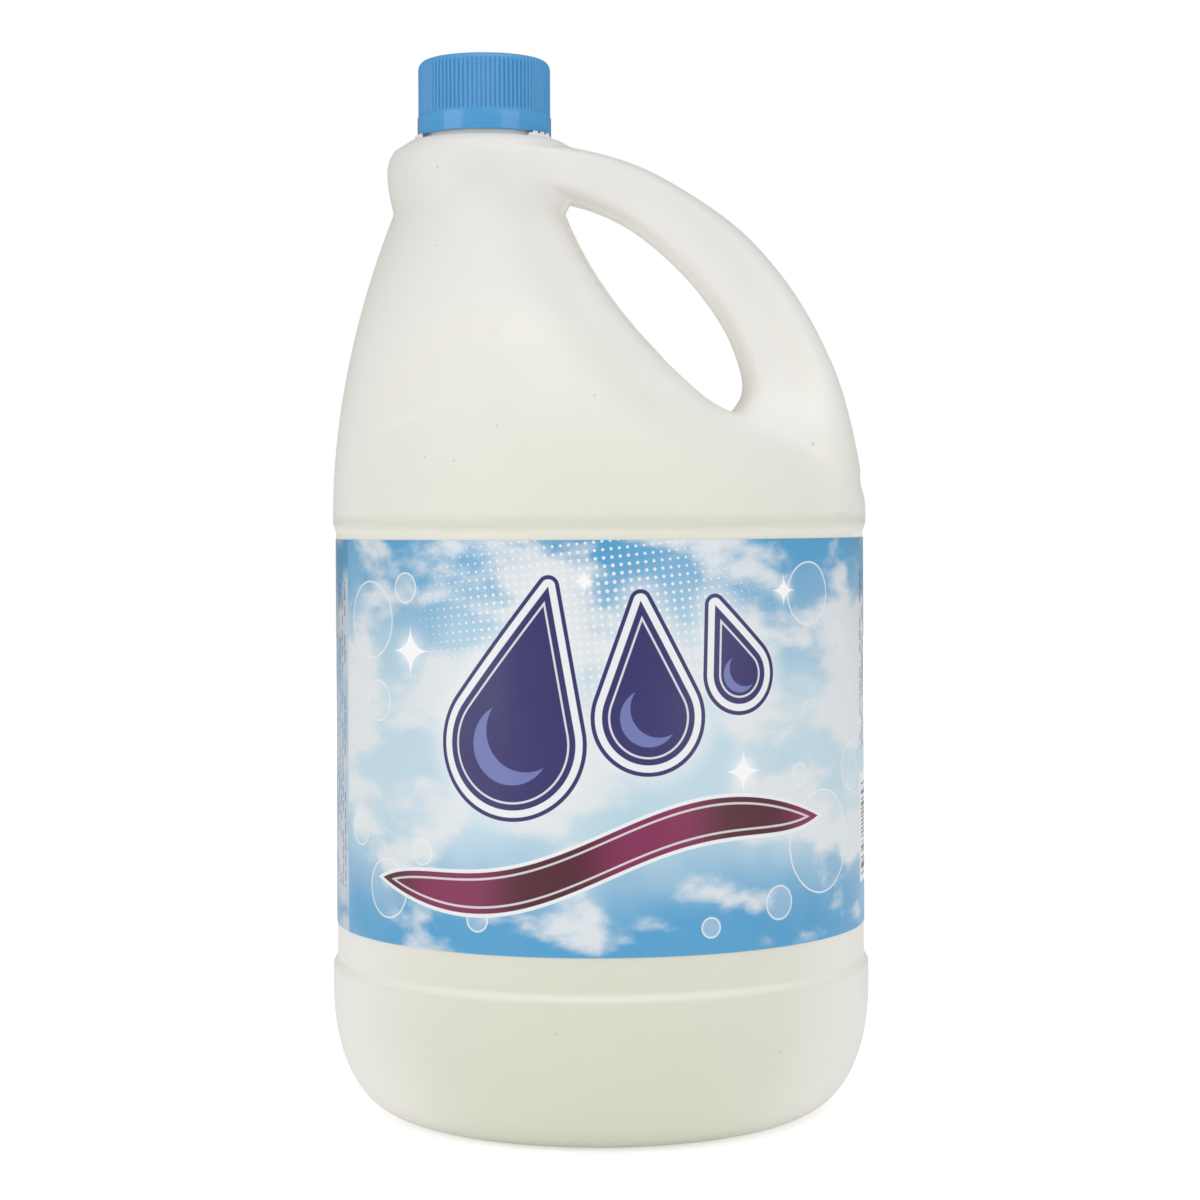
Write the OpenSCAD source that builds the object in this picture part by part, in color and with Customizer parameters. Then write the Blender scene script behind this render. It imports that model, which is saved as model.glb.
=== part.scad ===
// Four kilogram bleach bottle: a round blow moulded jug with a hollow handle beside its neck,
// a wrap label in a sunk panel, a ribbed screw cap with its sealing disc, and the liquid inside.
// Millimetres. The origin is on the floor under the middle of the round body, +X points to the
// handle and +Z up. The parting plane of the mould is y = 0, and the two halves mirror in it.

/* [Body] */
// Outer radius of the sunk label panel
panel_r = 76.3; // [70:0.1:82]
// How far the two bumper rings stand proud of the panel
bumper_step = 1.3; // [1:0.1:2.5]
// Height over which a bumper ring rises from the panel
bumper_edge = 1.6; // [0.8:0.1:3]
// Height of the lower bumper's upper edge
low_bumper_z = 44; // [40:0.5:52]
// Height where the panel ends and the upper bumper starts
panel_top = 165.4; // [150:0.2:180]
// Height of the upper bumper, up to where the shoulder starts
bumper_h = 5.6; // [4:0.2:10]
// Wall of the blow moulding
wall = 1.1; // [0.8:0.1:1.8]

/* [Foot] */
// Outer radius of the flat ring that the bottle stands on
foot_r = 57; // [50:0.5:64]
// Width of that ring
foot_w = 5; // [3:0.5:8]
// Height of the rounded corner between the ring and the body
corner_h = 36.5; // [25:0.5:39]
// Height of the raised middle of the base
push_up = 5; // [3:0.5:10]
// Width of the slope between the ring and the raised middle
push_slope = 16; // [8:1:30]

/* [Shoulder] */
// Height of the shoulder, from the upper bumper to the waist under the head
shoulder_h = 87; // [75:1:105]
// Distance of the neck's axis from the body's axis, away from the handle
neck_offset = 33; // [26:0.5:40]
// Waist, measured from the neck's axis away from the handle
waist_far = 26.4; // [24:0.2:27.5]
// Waist, measured from the neck's axis towards the handle
waist_near = 23; // [20:0.2:26]
// Waist, half its depth
waist_deep = 28.8; // [25:0.2:31]

/* [Head] */
// Radius of the swollen head under the neck
head_r = 28.3; // [27.8:0.1:32]
// Height of the head above the waist
head_h = 21; // [17:0.5:26]
// Radius of the flat top that the neck stands on
head_top_r = 20.5; // [19.5:0.1:24]
// Height of the rounding between the head's side and its top
head_round = 9; // [6:0.5:12]

/* [Handle] */
// Thickness of the handle where it leaves the head
grip_thin = 14.4; // [12:0.2:20]
// Thickness of the handle halfway down
grip_mid = 21.4; // [18:0.2:28]
// Thickness of the handle above its lower root
grip_thick = 26.2; // [22:0.2:32]
// Width of the handle, from front to back
grip_deep = 25; // [18:0.5:32]

/* [Neck] */
// Radius of the neck under its thread
neck_r = 16.4; // [15.5:0.1:17]
// Radius of the pouring bore
bore_r = 14.8; // [12:0.1:15]
// Height of the neck above the head
neck_h = 21; // [19:0.5:26]
// Radius of the collar at the neck's foot
collar_r = 17.6; // [17:0.1:18]
// Height of that collar
collar_h = 4.4; // [3:0.2:6]
// Rise of the thread in one turn
thread_pitch = 4.2; // [3.6:0.1:5]
// Height of the thread above the neck
thread_h = 1; // [0.6:0.1:1.2]
// Width of the thread at its root
thread_root_w = 2.2; // [1.6:0.1:2.4]
// Width of the thread at its crest
thread_tip_w = 1; // [0.5:0.1:1.4]
// Turns of thread on the neck, and in the cap
thread_turns = 1.5; // [1:0.25:2]
// Height of the torn flash on the head around the neck
flash_h = 0.9; // [0.4:0.1:1.4]
// Thickness of that flash
flash_t = 0.6; // [0.3:0.1:1]
// Gap between the collar and that flash
flash_gap = 1.9; // [1:0.1:2.2]

/* [Cap] */
// Radius over the cap's ribs
cap_r = 19.2; // [19:0.1:21]
// Number of ribs around the cap
rib_count = 90; // [60:1:110]
// Depth of the grooves between the ribs
rib_depth = 0.35; // [0.2:0.05:0.5]
// How far the smooth band stands out from the ribs
band_step = 0.25; // [0.1:0.05:0.6]
// Height of the smooth band
band_h = 5.4; // [3:0.2:8]
// Gap between the band and the bottle's head
band_gap = 1.6; // [1:0.1:3]
// Radial gap around the neck's thread and collar
cap_gap = 0.4; // [0.3:0.05:0.6]
// Thickness of the cap's top
cap_top = 1.6; // [1.2:0.1:2.5]
// Rounding of the cap's top edge
cap_round = 2.6; // [1.5:0.1:3.5]
// Thickness of the sealing disc
liner_t = 0.9; // [0.6:0.1:1.5]

/* [Label] */
// Thickness of the label film
film_t = 0.15; // [0.1:0.05:0.4]
// Bare panel between the lower bumper and the label
label_low_gap = 9.9; // [1:0.1:14]
// Bare panel between the label and the upper bumper
label_top_gap = 1.6; // [0.4:0.1:8]

/* [Contents] */
// Height of the liquid's surface
fill_z = 235; // [120:1:238]

/* [Hidden] */
slack = 0.05;                       // gap between pieces that touch
lap = 1.5;                          // how far joined forms run into each other
liquid_gap = 0.3;                   // gap between the liquid and the wall
bumper_r = panel_r + bumper_step;
shoulder_z = panel_top + bumper_h;
waist_z = shoulder_z + shoulder_h;
head_top = waist_z + head_h;
neck_top = head_top + neck_h;
neck_x = -neck_offset;
cap_bottom = head_top + band_gap;
label_z = low_bumper_z + label_low_gap;
label_h = panel_top - label_top_gap - label_z;
ceiling_z = neck_top + liner_t + 2 * slack;
cap_in_r = neck_r + thread_h + cap_gap;
skirt_in_r = collar_r + 1.5 * cap_gap;
thread_rise = 5;                    // from the collar up to the start of the thread
thread_z = head_top + collar_h + thread_rise;
flash_runs = [[-38, 40], [168, 20]]; // where each run of flash starts and how far it goes round
rib_root = 0.1;                     // how deep the ribs are rooted in the cap's wall
rib_over = 0.6;                     // how far the ribs run up over the cap's rounding
ring_steps = 56;                    // points around the shoulder
rise_steps = 16;                    // rings from the bumper to the waist
head_steps = 9;                     // rings from the waist to the head's top
grip_steps = 3;                     // rings between two stations of the handle
grip_points = 20;                   // points around the handle
turn_steps = 28;                    // points along one turn of the thread

// Stations along the handle's middle line, from inside the head to inside the shoulder:
// share of the way from the neck's axis to the bumper, share of the height from the shoulder's
// start to the head's top, share of the way from thin to thick, and how much deeper it flares
STATIONS = [
    [0.100, 0.925, 0.00, 1.00], [0.239, 0.902, 0.00, 1.00], [0.359, 0.866, 0.15, 1.00],
    [0.470, 0.805, 0.26, 1.00], [0.594, 0.704, 0.44, 1.00], [0.683, 0.600, 0.57, 1.04],
    [0.750, 0.493, 0.73, 1.14], [0.800, 0.370, 1.04, 1.36], [0.811, 0.268, 1.75, 1.85],
    [0.788, 0.165, 3.06, 2.95], [0.746, 0.065, 4.00, 3.60]
];

// Cubic ease from 0 to 1
function ease(t) = let (s = min(1, max(0, t))) s * s * (3 - 2 * s);

// Straight mix of two values
function mix(a, b, t) = a + (b - a) * t;

// A closed ring of points at one height: two half ellipses that share their depth
function oval(z, left, right, middle, deep) = [
    for (i = [0 : ring_steps - 1])
        let (a = 360 * i / ring_steps, reach = cos(a) > 0 ? right - middle : middle - left)
        [middle + reach * cos(a), deep * sin(a), z]
];

// Shoulder ring at share t of its height. The far side follows a steep ogive, the near side
// swings in under the handle's opening, and the front and back follow a fuller ogive.
function shoulder_ring(t, inset) =
    let (swing = 0.98 - 0.46 * (1 - t) - 0.52 * pow(1 - t, 2) + 0.023 * sin(180 * t),
         near = swing * ease(t / 0.39),
         left = mix(-bumper_r, neck_x - waist_far, pow(t, 1.9)) + inset,
         right = mix(bumper_r, neck_x + waist_near, near / 0.98) - inset,
         deep = mix(bumper_r, waist_deep, pow(t, 1.55)) - inset)
    oval(mix(shoulder_z, waist_z, t), left, right, mix(0, neck_x, ease(t)), deep);

// Head ring at share t of its height: it swells from the waist, then rounds over to the flat top
function head_ring(t, inset) =
    let (z = mix(waist_z, head_top - inset, t),
         belly = head_top - inset - head_round,
         swell = sin(90 * min(1, (z - waist_z) / (belly - waist_z))),
         over = max(0, (z - belly) / head_round),
         round_r = head_top_r + (head_r - head_top_r) * sqrt(max(0, 1 - over * over)),
         r = z > belly ? round_r : head_r)
    oval(z, neck_x - mix(waist_far, r, swell) + inset, neck_x + mix(waist_near, r, swell) - inset,
         neck_x, mix(waist_deep, r, swell) - inset);

// Rings of the upper body, from the bumper's lower edge to the head's flat top
function upper_rings(inset) = [
    oval(panel_top + inset, -bumper_r + bumper_step / 2 + inset, bumper_r - bumper_step / 2 - inset,
         0, bumper_r - bumper_step / 2 - inset),
    oval(panel_top + bumper_edge + inset, inset - bumper_r, bumper_r - inset, 0, bumper_r - inset),
    for (i = [0 : rise_steps - 1]) shoulder_ring(i / rise_steps, inset),
    for (i = [0 : head_steps]) head_ring(1 - pow(1 - i / head_steps, 1.5), inset)
];

// Catmull-Rom curve through a list of stations, at share t of span i
function along(list, i, t) =
    let (n = len(list) - 1, a = list[max(0, i - 1)], b = list[i], c = list[i + 1],
         d = list[min(n, i + 2)])
    0.5 * (2 * b + (c - a) * t + (2 * a - 5 * b + 4 * c - d) * t * t
           + (3 * b - a - 3 * c + d) * t * t * t);

grip_line = [
    for (i = [0 : len(STATIONS) - 2], k = [0 : grip_steps - 1]) along(STATIONS, i, k / grip_steps),
    STATIONS[len(STATIONS) - 1]
];
function grip_centre(s) = [mix(neck_x, bumper_r, s[0]), mix(shoulder_z, head_top, s[1])];
function grip_half(s) = (s[2] < 0.5 ? mix(grip_thin, grip_mid, s[2] / 0.5)
                                    : mix(grip_mid, grip_thick, (s[2] - 0.5) / 0.5)) / 2;

// Rounded box outline: a superellipse between an ellipse and a rectangle
function soft(c) = sign(c) * pow(abs(c), 0.72);

// Rings of the handle, square to its middle line
function grip_rings(inset) = [
    for (i = [0 : len(grip_line) - 1])
        let (s = grip_line[i], p = grip_centre(s),
             q = grip_centre(grip_line[min(i + 1, len(grip_line) - 1)])
                 - grip_centre(grip_line[max(i - 1, 0)]),
             n = [-q[1], q[0]] / norm(q), half = grip_half(s) - inset,
             deep = s[3] * grip_deep / 2 - inset)
        [for (k = [0 : grip_points - 1])
            let (a = -360 * k / grip_points, w = half * soft(cos(a)))
            [p[0] + n[0] * w, deep * soft(sin(a)), p[1] + n[1] * w]]
];

// Closed solid through a list of rings
module skin(rings) {
    n = len(rings[0]);
    m = len(rings);
    polyhedron(
        points = [for (r = rings) each r],
        faces = concat(
            [[for (k = [0 : n - 1]) k]],
            [[for (k = [n - 1 : -1 : 0]) (m - 1) * n + k]],
            [for (j = [0 : m - 2], k = [0 : n - 1])
                let (a = j * n + k, b = j * n + (k + 1) % n) [a, a + n, b]],
            [for (j = [0 : m - 2], k = [0 : n - 1])
                let (a = j * n + k, b = j * n + (k + 1) % n) [b, a + n, b + n]]));
}

// Turned lower body: foot ring, raised middle, rounded corner, lower bumper and label panel
module lower_body(inset) {
    top = panel_top + inset + lap;
    rotate_extrude($fn = 180)
        polygon(concat(
            [[0, push_up + inset], [foot_r - foot_w - push_slope, push_up + inset],
             [foot_r - foot_w, inset]],
            [for (i = [0 : 14])
                let (a = 90 * i / 14)
                [foot_r + (bumper_r - foot_r - inset) * sin(a),
                 corner_h - (corner_h - inset) * cos(a)]],
            [[bumper_r - inset, low_bumper_z - bumper_edge], [panel_r - inset, low_bumper_z],
             [panel_r - inset, top], [0, top]]));
}

// The whole body and handle without the neck, drawn in from the outside by inset
module body_form(inset) {
    lower_body(inset);
    skin(upper_rings(inset));
    skin(grip_rings(inset));
}

// One thread around the Z axis: a bar of tapered section on a helix, with its ends run out.
// r is the wall that carries it, h its height, outwards when positive, and start its first level.
module thread(r, h, start) {
    steps = round(thread_turns * turn_steps);
    root = 0.4 * (h > 0 ? 1 : -1);
    rings = [for (i = [0 : steps])
        let (a = 360 * i / turn_steps, out = min(1, min(i, steps - i) / (turn_steps / 10)),
             z = start + thread_pitch * i / turn_steps, tip = r + h * (0.15 + 0.85 * out),
             low = thread_root_w / 2, high = thread_tip_w / 2)
        [[r - root, z - low], [tip, z - high], [tip, z + high], [r - root, z + low]]
            * [[cos(a), sin(a), 0], [0, 0, 1]]];
    skin(h < 0 ? rings : [for (r = rings) [r[3], r[2], r[1], r[0]]]);
}

// Neck of the bottle, standing on the head, before it is bored
module neck_form() {
    translate([neck_x, 0, head_top - lap]) cylinder(r = neck_r, h = neck_h + lap, $fn = 96);
    translate([neck_x, 0, head_top - lap]) cylinder(r = collar_r, h = collar_h + lap, $fn = 96);
    translate([neck_x, 0, 0]) thread(neck_r, thread_h, thread_z);
}

// Torn flash that the mould left on the head around the neck, by the parting plane
module flash() {
    for (run = flash_runs)
        translate([neck_x, 0, head_top - wall / 2])
            rotate([0, 0, run[0]])
                rotate_extrude(angle = run[1], $fn = 96)
                    translate([collar_r + flash_gap, 0]) square([flash_t, flash_h + wall / 2]);
}

module bottle() {
    color([0.91, 0.91, 0.87])
    difference() {
        union() {
            body_form(0);
            neck_form();
            flash();
        }
        body_form(wall);
        translate([neck_x, 0, head_top - wall - lap])
            cylinder(r = bore_r, h = neck_h + wall + 2 * lap, $fn = 96);
    }
}

// Outline of the ribs around the cap
module rib_outline() {
    polygon([for (i = [0 : 4 * rib_count - 1])
        let (a = 90 * i / rib_count, r = cap_r - (i % 4 == 2 ? rib_depth : i % 4 == 0 ? 0 : rib_depth / 3))
        r * [cos(a), sin(a)]]);
}

// Outside of the cap: a turned core with a rounded top edge, the ribs around it and the band
module cap_form() {
    core_r = cap_r - rib_depth - rib_root;
    round_z = ceiling_z + cap_top - cap_round;
    rotate_extrude($fn = 120)
        polygon(concat(
            [[0, cap_bottom + lap], [core_r, cap_bottom + lap]],
            [for (i = [0 : 8])
                [core_r - cap_round + cap_round * cos(90 * i / 8), round_z + cap_round * sin(90 * i / 8)]],
            [[0, round_z + cap_round]]));
    translate([0, 0, cap_bottom + band_h - lap])
        linear_extrude(round_z + rib_over - cap_bottom - band_h + lap) rib_outline();
    translate([0, 0, cap_bottom]) cylinder(r = cap_r + band_step, h = band_h, $fn = 120);
}

module cap() {
    color([0.30, 0.58, 0.80])
    translate([neck_x, 0, 0]) {
        difference() {
            cap_form();
            translate([0, 0, cap_bottom - 1])
                cylinder(r = cap_in_r, h = ceiling_z - cap_bottom + 1, $fn = 120);
            translate([0, 0, cap_bottom - 1])
                cylinder(r = skirt_in_r, h = collar_h + 2 * cap_gap - band_gap + 1, $fn = 120);
        }
        thread(cap_in_r, -thread_h, thread_z - thread_pitch / 2);
    }
}

module cap_liner() {
    color([0.93, 0.93, 0.91])
    translate([neck_x, 0, neck_top + slack])
        cylinder(r = cap_in_r - cap_gap, h = liner_t, $fn = 96);
}

module label() {
    color([0.45, 0.72, 0.87])
    translate([0, 0, label_z])
        difference() {
            cylinder(r = panel_r + slack + film_t, h = label_h, $fn = 180);
            translate([0, 0, -1]) cylinder(r = panel_r + slack, h = label_h + 2, $fn = 180);
        }
}

module bleach() {
    color([0.86, 0.90, 0.70, 0.6])
    intersection() {
        body_form(wall + liquid_gap);
        translate([-bumper_r - lap, -bumper_r - lap, 0])
            cube([2 * (bumper_r + lap), 2 * (bumper_r + lap), fill_z]);
    }
}

bottle();
cap();
cap_liner();
label();
bleach();
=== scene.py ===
import math

import bmesh
import bpy
import numpy as np
from mathutils import Euler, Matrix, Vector


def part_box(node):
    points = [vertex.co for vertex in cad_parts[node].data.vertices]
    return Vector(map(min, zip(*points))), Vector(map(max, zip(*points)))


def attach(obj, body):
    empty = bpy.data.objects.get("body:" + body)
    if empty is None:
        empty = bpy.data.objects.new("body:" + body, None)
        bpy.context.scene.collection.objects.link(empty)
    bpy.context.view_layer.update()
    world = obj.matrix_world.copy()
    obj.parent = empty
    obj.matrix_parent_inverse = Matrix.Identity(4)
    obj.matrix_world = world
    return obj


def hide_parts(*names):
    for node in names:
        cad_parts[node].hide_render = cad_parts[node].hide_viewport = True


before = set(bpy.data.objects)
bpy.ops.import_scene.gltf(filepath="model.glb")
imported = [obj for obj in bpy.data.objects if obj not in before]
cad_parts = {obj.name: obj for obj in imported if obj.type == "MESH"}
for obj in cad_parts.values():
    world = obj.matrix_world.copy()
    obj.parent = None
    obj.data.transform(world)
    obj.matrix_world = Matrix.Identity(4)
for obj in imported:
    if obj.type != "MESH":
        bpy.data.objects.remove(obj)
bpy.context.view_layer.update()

MM = 0.001


def corners(node):
    """Lowest and highest corner of a CAD node, in millimetres."""
    low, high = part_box(node)
    return np.array(low) / MM, np.array(high) / MM


bottle_low, bottle_high = corners("bottle")
cap_low, cap_high = corners("cap")
label_low, label_high = corners("label")

# Body
BUMPER_R = bottle_high[0]
BUMPER_STEP = 1.3
BUMPER_EDGE = 2.1
UPPER_EDGE = 2.7
PANEL_R = BUMPER_R - BUMPER_STEP
LOW_BUMPER_Z = 44.0
PANEL_TOP = 165.4
SHOULDER_Z = 171.0
UPPER_R = BUMPER_R - 0.4
WALL = 1.1

# Foot
FOOT_R = 57.0
FOOT_W = 5.0
CORNER_H = 36.5
CORNER_FULL = 2.2
PUSH_UP = 5.0
PUSH_SLOPE = 16.0

# Shoulder and head
WAIST_Z = 258.0
HEAD_TOP = 279.0
NECK_X = (cap_low[0] + cap_high[0]) / 2
WAIST_FAR = 26.4
WAIST_NEAR = 23.0
WAIST_DEEP = 28.8
HEAD_R = 28.3
HEAD_TOP_R = 20.5
HEAD_ROUND = 9.0

# Handle
GRIP_THIN = 14.4
GRIP_MID = 21.4
GRIP_THICK = 26.2
GRIP_DEEP = 25.0
GRIP_LEAN = 0.12
HOLE_CENTRE = np.array([14.0, 234.0])

# Neck
NECK_R = 16.4
BORE_R = 14.8
NECK_TOP = bottle_high[2]
COLLAR_R = 17.6
COLLAR_H = 4.4
THREAD_PITCH = 4.2
THREAD_H = 1.0
THREAD_Z = HEAD_TOP + COLLAR_H + 5.0
THREAD_TURNS = 1.5
# Torn flash beside the neck: start and sweep in degrees, radius, height and the wave's seed
NECK_CURLS = [(-50, 34, 20.1, 2.0, 1), (-24, 20, 18.9, 1.6, 5), (189, 24, 20.1, 1.8, 2)]

# Cap
BAND_R = (cap_high[0] - cap_low[0]) / 2
CAP_R = BAND_R - 0.25
CAP_BOTTOM = cap_low[2]
CAP_TOP = cap_high[2]
CAP_IN_R = 17.8
SKIRT_IN_R = 18.2
SKIRT_TOP = HEAD_TOP + COLLAR_H + 0.8
CEILING_Z = CAP_TOP - 1.6
CAP_ROUND = 2.6
BAND_H = 5.4
RIB_COUNT = 90
RIB_DEPTH = 0.35

# Label
FILM_T = 0.15
LABEL_R = label_high[0]
SEAM_TURN = math.radians(-67)
LAP_TURN = math.radians(5)

# Stations along the handle's middle line, from inside the head to inside the shoulder: share of
# the way from the neck's axis to the bumper, share of the height from the shoulder's start to the
# head's top, share of the way from thin to thick, and how much deeper it flares
STATIONS = np.array([
    [0.100, 0.925, 0.00, 2.00], [0.239, 0.906, 0.04, 1.60], [0.359, 0.868, 0.16, 1.16],
    [0.470, 0.805, 0.26, 1.00], [0.594, 0.704, 0.44, 1.00], [0.683, 0.600, 0.57, 1.04],
    [0.748, 0.493, 0.73, 1.14], [0.795, 0.370, 1.05, 1.36], [0.804, 0.268, 1.78, 1.85],
    [0.783, 0.165, 3.06, 2.95], [0.744, 0.065, 4.00, 3.60],
])


# Helpers for shapes


def ease(t):
    """Cubic ease from 0 to 1."""
    s = np.clip(t, 0, 1)
    return s * s * (3 - 2 * s)


def mix(a, b, t):
    """Straight mix of two values."""
    return a + (b - a) * t


def soft_max(a, b, k):
    """The larger of a and b, with their crossing rounded over a band of width k."""
    h = np.clip(k - np.abs(a - b), 0, None) / k
    return np.maximum(a, b) + h * h * k / 4


def crossing(field, inside, outside, rounds=40):
    """Points where the field falls to zero on the lines from inside points to outside ones,
    found by halving."""
    low, high = np.zeros(len(inside)), np.ones(len(inside))
    for _ in range(rounds):
        middle = (low + high) / 2
        p = mix(inside, outside, middle[:, None])
        positive = field(p[:, 0], p[:, 1]) > 0
        low, high = np.where(positive, middle, low), np.where(positive, high, middle)
    return mix(inside, outside, ((low + high) / 2)[:, None])


def rounded(points, radii, steps=6):
    """A polyline whose corners are replaced by arcs, each of its own radius."""
    points = [np.array(p, float) for p in points]
    path = [points[0]]
    for before, here, after, radius in zip(points, points[1:], points[2:], radii[1:]):
        if radius <= 0:
            path.append(here)
            continue
        a = (before - here) / np.linalg.norm(before - here)
        b = (after - here) / np.linalg.norm(after - here)
        half = math.acos(np.clip(a @ b, -1, 1)) / 2
        middle = here + (a + b) / np.linalg.norm(a + b) * radius / math.sin(half)
        start = here + a * radius / math.tan(half) - middle
        end = here + b * radius / math.tan(half) - middle
        sweep = math.pi - 2 * half
        for t in np.linspace(0, 1, steps + 1):
            spoke = start * math.sin((1 - t) * sweep) + end * math.sin(t * sweep)
            path.append(middle + spoke / math.sin(sweep))
    path.append(points[-1])
    return np.array(path)


def grid_faces(rows, columns, closed=False):
    """Quads of a grid of points in row order. A closed grid joins its last column to its first."""
    wide = columns if closed else columns - 1
    i, j = np.meshgrid(np.arange(rows - 1), np.arange(wide), indexing="ij")
    a = (i * columns + j).ravel()
    b = (i * columns + (j + 1) % columns).ravel()
    return np.stack([a, b, b + columns, a + columns], axis=1).tolist()


def turned(path, segments, centre_x=0.0):
    """A profile of (radius, height) carried round a vertical axis: the point at angle a is
    (centre + radius cos a, radius sin a, height)."""
    a = 2 * math.pi * np.arange(segments) / segments
    r, z = path[:, 0:1], path[:, 1:2]
    points = np.stack([centre_x + r * np.cos(a), r * np.sin(a), z + 0 * a], axis=2)
    return points.reshape(-1, 3), grid_faces(len(path), segments, closed=True)


def bar(rings):
    """A closed bar through rings of points that all have the same count."""
    rows, count = rings.shape[:2]
    faces = grid_faces(rows, count, closed=True)
    faces.append(list(range(count)))
    faces.append(list(range((rows - 1) * count, rows * count)))
    return rings.reshape(-1, 3), faces


def add_piece(mesh, material, body, nodes, sharp):
    """A piece of the object from its mesh. Edges above the given angle in degrees stay crisp."""
    mesh.polygons.foreach_set("use_smooth", np.ones(len(mesh.polygons), bool))
    mesh.set_sharp_from_angle(angle=math.radians(sharp))
    mesh.materials.append(material)
    piece = bpy.data.objects.new(mesh.name, mesh)
    bpy.context.scene.collection.objects.link(piece)
    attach(piece, body)
    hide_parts(*nodes)


def make_piece(name, shells, material, body, nodes, sharp=38):
    """One piece from (points, faces) shells in millimetres. Points that meet are merged and faces
    turned outwards."""
    mesh = bpy.data.meshes.new(name)
    work = bmesh.new()
    for points, faces in shells:
        made = [work.verts.new(p) for p in (points * MM).tolist()]
        for f in faces:
            work.faces.new([made[i] for i in f])
    bmesh.ops.remove_doubles(work, verts=work.verts, dist=0.002 * MM)
    bmesh.ops.dissolve_degenerate(work, edges=work.edges, dist=0.0005 * MM)
    bmesh.ops.recalc_face_normals(work, faces=work.faces)
    work.to_mesh(mesh)
    work.free()
    add_piece(mesh, material, body, nodes, sharp)


# The form of the upper body, as the square of its half depth at a place (x, z)


def oval_q(x, left, right, middle, deep):
    """Square of the half depth of two half ellipses that share their depth."""
    u = np.where(x < middle, (middle - x) / (middle - left), (x - middle) / (right - middle))
    return deep ** 2 * (1 - u ** 2)


def shoulder_q(x, z, inset):
    """The far side follows a steep ogive, the near side swings in under the hole, and the front
    and back follow a fuller ogive."""
    t = np.clip((z - SHOULDER_Z) / (WAIST_Z - SHOULDER_Z), 0, 1.25)
    swing = 0.98 - 0.46 * (1 - t) - 0.52 * (1 - t) ** 2 + 0.023 * np.sin(math.pi * np.clip(t, 0, 1))
    near = swing * ease(t / 0.39) / 0.98
    return oval_q(x, mix(-UPPER_R, NECK_X - WAIST_FAR, t ** 1.9) + inset,
                  mix(UPPER_R, NECK_X + WAIST_NEAR, near) - inset,
                  mix(0, NECK_X, ease(t)),
                  mix(UPPER_R, WAIST_DEEP, t ** 1.55) - inset)


def head_q(x, z, inset):
    """The head swells from the waist by a sine, then rounds over to the flat top by a quarter
    ellipse."""
    belly = HEAD_TOP - inset - HEAD_ROUND
    swell = np.sin(math.pi / 2 * np.clip((z - WAIST_Z) / (belly - WAIST_Z), -0.9, 1))
    over = np.clip((z - belly) / HEAD_ROUND, 0, 1)
    r = mix(HEAD_TOP_R, HEAD_R, np.sqrt(1 - over ** 2))
    return oval_q(x, NECK_X - mix(WAIST_FAR, r, swell) + inset,
                  NECK_X + mix(WAIST_NEAR, r, swell) - inset, NECK_X,
                  mix(WAIST_DEEP, r, swell) - inset)


def handle_line(per_span=60):
    """The handle's middle line as a Catmull-Rom curve through the stations: centre, direction
    across, half thickness and half depth at each point."""
    last = len(STATIONS) - 1
    t = np.arange(per_span)[:, None] / per_span
    spans = []
    for i in range(last):
        a, b, c, d = (STATIONS[k] for k in (max(0, i - 1), i, i + 1, min(last, i + 2)))
        spans.append(0.5 * (2 * b + (c - a) * t + (2 * a - 5 * b + 4 * c - d) * t ** 2
                            + (3 * b - a - 3 * c + d) * t ** 3))
    s = np.vstack(spans + [STATIONS[-1:]])
    centre = np.stack([mix(NECK_X, BUMPER_R, s[:, 0]), mix(SHOULDER_Z, HEAD_TOP, s[:, 1])], axis=1)
    along = np.gradient(centre, axis=0)
    step = np.linalg.norm(along, axis=1)
    along /= step[:, None]
    half = np.where(s[:, 2] < 0.5, mix(GRIP_THIN, GRIP_MID, s[:, 2] / 0.5),
                    mix(GRIP_MID, GRIP_THICK, (s[:, 2] - 0.5) / 0.5)) / 2
    return centre, along, step, half, s[:, 3] * GRIP_DEEP / 2


LINE = handle_line()


def handle_q(x, z, inset):
    """Each place takes the section of the middle line's nearest point. The section is nearly flat
    in front, leans out, and rounds over faster on its outer side."""
    centre, along, step, half, deep = LINE
    shape, x, z = x.shape, x.ravel(), z.ravel()
    nearest = np.argmin((x[:, None] - centre[:, 0]) ** 2 + (z[:, None] - centre[:, 1]) ** 2, axis=1)
    dx, dz = x - centre[nearest, 0], z - centre[nearest, 1]
    past = dx * along[nearest, 0] + dz * along[nearest, 1]
    s = np.clip(nearest + past / step[nearest], 0, len(centre) - 1)
    index = np.arange(len(centre))
    cx, cz, ax, az, wide, thick = (
        np.interp(s, index, v) for v in (*centre.T, *along.T, half - inset, deep - inset))
    beyond = (x - cx) * ax + (z - cz) * az
    u = (-(x - cx) * az + (z - cz) * ax) / wide
    power = np.where(u > 0, 3.9, 8.0)
    q = thick ** 2 * (1 - np.abs(u) ** power) * (1 + GRIP_LEAN * np.clip(u, -1, 1))
    q -= (thick * beyond / wide) ** 2
    return np.where(z < SHOULDER_Z - 2, -1.0, q).reshape(shape)


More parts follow.
